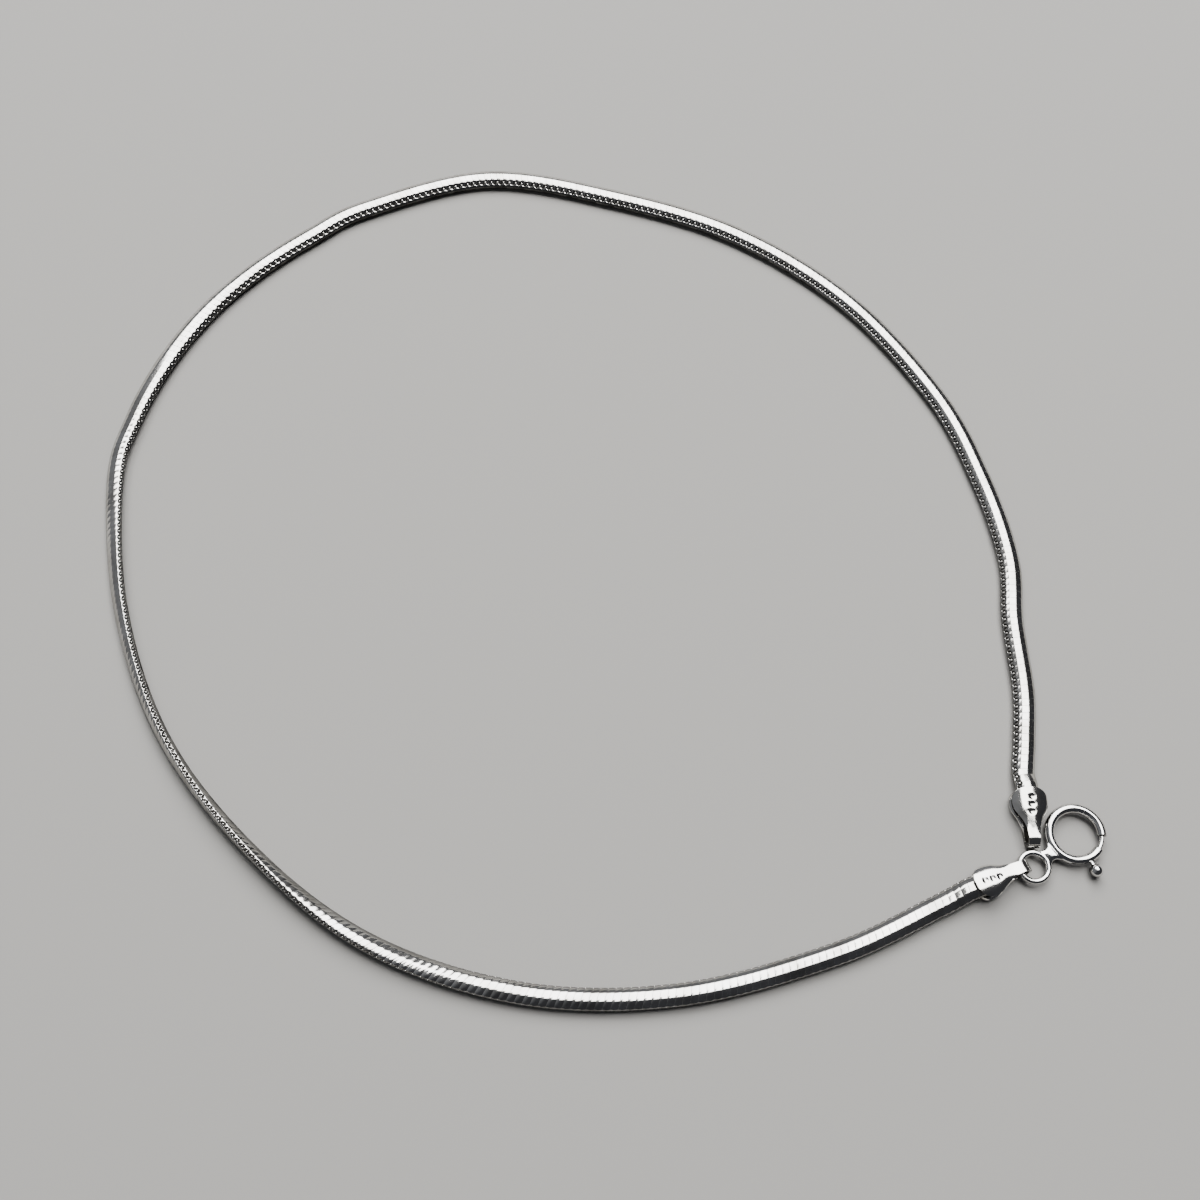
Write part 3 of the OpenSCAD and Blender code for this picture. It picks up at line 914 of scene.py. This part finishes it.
def add_painted_shade(material, dull, shade_paint):
    """Paints shade into the joints and onto the low ears, and tones each plate a little differently."""
    tree = material.node_tree
    shader = tree.nodes["Principled BSDF"]
    clean, blur = (shader.inputs[key].links[0].from_socket for key in ("Base Color", "Roughness"))
    mark = add_node(tree, "ShaderNodeAttribute", {"attribute_name": "shade_paint"}).outputs["Fac"]
    joint_shade = add_node(tree, "ShaderNodeMapRange", {"From Min": SHADE_FROM, "From Max": SHADE_FULL},
                     {"Value": mark}).outputs["Result"]
    tone = add_node(tree, "ShaderNodeAttribute", {"attribute_name": "tone"}).outputs["Fac"]
    shade = add_node(tree, "ShaderNodeMapRange", {"To Min": 0.0, "To Max": TONE_RANGE}, {"Value": tone})
    toned = add_node(tree, "ShaderNodeMix", {"data_type": "RGBA", 7: linear(dull)},
                     {0: shade.outputs["Result"], 6: clean})
    shade_painted = add_node(tree, "ShaderNodeMix", {"data_type": "RGBA", 7: linear(shade_paint)},
                      {0: joint_shade, 6: toned.outputs[2]})
    tree.links.new(shade_painted.outputs[2], shader.inputs["Base Color"])
    matt = add_node(tree, "ShaderNodeMath", {"operation": "MULTIPLY_ADD", 1: SHADE_ROUGH},
                    {0: joint_shade, 2: blur})
    tree.links.new(matt.outputs[0], shader.inputs["Roughness"])


# %% Silver of the links
# To the eye: long mirror bands along the chain, cut by fine dark joints, and dark flanks, both painted
# shade.
chain_silver = silver(
    "polished_silver_links", bright="#ECEAE6", dull="#C9C6C0", under="#2E2D2B", rough=(0.10, 0.18),
    wave=(0.8, 0.006), scratch_high=0.0008, shade_edge=(0.38, 0.86), film_edge=(0.1, 0.5))
add_painted_shade(chain_silver, dull="#C9C6C0", shade_paint="#5A5754")
dress([links_a, links_b], chain_silver)

# %% [markdown]
# ### The inside of the links: oxidised silver and painted shade
#
# No polish reaches the inside of the links, so it has tarnished grey and matt, and its dark colour
# is also painted shade. A plain black would do in deep shade, but it looks like a hole where light
# gets in. So it is silver too, dark and rough.

# %% Silver inside the links
# To the eye: a soft grey-brown depth in the joints, without a mirror in it.
core_silver = silver(
    "silver_inside_painted_shade", bright="#5E5B58", dull="#45423F", under="#3A3836", rough=(0.45, 0.6),
    wave=(0.8, 0.01), scratch_high=0.002, shade_edge=(0.2, 0.5), film_edge=(0.1, 0.5))
dress([core_piece], core_silver)

# %% [markdown]
# ### The end caps: pressed silver sheet
#
# The caps are pressed from sheet and polished by hand afterwards. Pressing leaves the sheet a little
# wavy over a millimetre or so. That is too slight to model, so it is the recipe's soft bump.

# %% Silver of the caps
# To the eye: broad bright planes with wavering edges, and sides greyed by painted shade.
cap_silver = silver(
    "pressed_silver_caps", bright="#ECEAE5", dull="#D2CFC9", under="#4A4846", rough=(0.09, 0.17),
    wave=(1.2, 0.014), scratch_high=0.0010, shade_edge=(0.15, 0.6), film_edge=(-0.1, 0.25))
dress([cap_a, cap_b], cap_silver)

# %% [markdown]
# ### The clasp: bright drawn silver
#
# Ring, eye and bolt are drawn tube and wire, polished to a high gloss. A mirror without any roughness
# would be simpler, but it looks like chrome. So they have the same recipe with the least roughness,
# and hardly any film, because they are touched most and stay the cleanest.

# %% Silver of the clasp
# To the eye: thin crisp highlights that run round the tube, between dark reflections and painted shade
# below.
ring_silver = silver(
    "bright_silver_clasp", bright="#F1F0EE", dull="#DCDAD6", under="#4A4846", rough=(0.06, 0.12),
    wave=(1.5, 0.006), scratch_high=0.0006, shade_edge=(0.1, 0.6), film_edge=(-0.4, 0.0))
dress([ring_piece, bolt_piece], ring_silver)

# %% [markdown]
# ## Floor, light and camera
#
# The chain lies on a plain pale floor. A curved backdrop or a pattern would draw the eye away from the
# small links, so the floor is one flat sheet. It is a matt painted board, which to the eye gives an
# even tone and takes only the soft shadows.

# %% Floor
FLOOR_HALF = 3
floor_mesh = bpy.data.meshes.new("floor")
floor_mesh.from_pydata([(x * FLOOR_HALF, y * FLOOR_HALF, 0)
                        for x, y in ((-1, -1), (1, -1), (1, 1), (-1, 1))], [], [(0, 1, 2, 3)])
floor = bpy.data.objects.new("floor", floor_mesh)
bpy.context.scene.collection.objects.link(floor)
floor_mat = bpy.data.materials.new("pale_floor")
floor_mat.use_nodes = True
floor_shader = floor_mat.node_tree.nodes["Principled BSDF"]
floor_shader.inputs["Base Color"].default_value = linear("#B3B1AD")
floor_shader.inputs["Roughness"].default_value = 0.9
floor_mesh.materials.append(floor_mat)
print("floor", 2 * FLOOR_HALF, "m wide")

# %% [markdown]
# Polished silver shows its surroundings more than itself, so the lights are shaped for what they look
# like in it. Spot lights would leave points. Two large panels side by side, overhead and towards the
# far side, draw the long white band along the chain, and its near side mirrors the dim room.

# %% Panels of light
LIGHT_HIGH = 1.2


def softbox(name, centre, width, depth, energy):
    data = bpy.data.lights.new(name, "AREA")
    data.shape = "RECTANGLE"
    data.size, data.size_y = width, depth
    data.energy = energy
    lamp = bpy.data.objects.new(name, data)
    lamp.location = (centre[0], centre[1], LIGHT_HIGH)
    bpy.context.scene.collection.objects.link(lamp)
    print(name, width, "by", depth, "m")


softbox("softbox_right", (0.29, 1.125), 0.82, 2.15, 44.1)
softbox("softbox_left", (-0.46, 1.38), 0.68, 1.64, 27.9)

# %% [markdown]
# The walls of the room are dim, and a little lighter on the far left, which is what the chain's outer
# side mirrors on the left. One grey all round would make both sides of the loop alike.

# %% Dim room
LIGHTER_WAY = (-0.8, 0.6, 0.0)
world = bpy.data.worlds.new("studio")
bpy.context.scene.world = world
world.use_nodes = True
sky = world.node_tree
sky_way = add_node(sky, "ShaderNodeTexCoord").outputs["Generated"]
lean = add_node(sky, "ShaderNodeVectorMath", {"operation": "DOT_PRODUCT", 1: LIGHTER_WAY},
                {0: sky_way})
share = add_node(sky, "ShaderNodeMapRange", {"From Min": -0.15, "From Max": 0.4},
                 {"Value": lean.outputs["Value"]})
tint = add_node(sky, "ShaderNodeValToRGB", links={"Fac": share.outputs["Result"]},
                stops=[(0.0, "#35363A"), (1.0, "#74767A")])
sky.links.new(tint.outputs["Color"], sky.nodes["Background"].inputs["Color"])

# %% [markdown]
# The camera stands close above the near side and looks down steeply. So near, the far side of the
# loop looks smaller, as in a photograph taken by hand. A long lens from far away would flatten that.

# %% Camera
CAMERA_AT = (6.0, -81.0, 179.9)
LOOKS_DOWN = 68.2
camera_data = bpy.data.cameras.new("camera")
camera_data.lens = 42
camera_data.sensor_width = 36
camera_data.clip_start = 0.01
camera = bpy.data.objects.new("camera", camera_data)
camera.location = ((CAMERA_AT[0] + SHIFT[0]) * MM, (CAMERA_AT[1] + SHIFT[1]) * MM,
                   CAMERA_AT[2] * MM)
camera.rotation_euler = (math.radians(90 - LOOKS_DOWN), 0, 0)
bpy.context.scene.collection.objects.link(camera)
bpy.context.scene.camera = camera
print("camera at", [round(c, 4) for c in camera.location], "m")
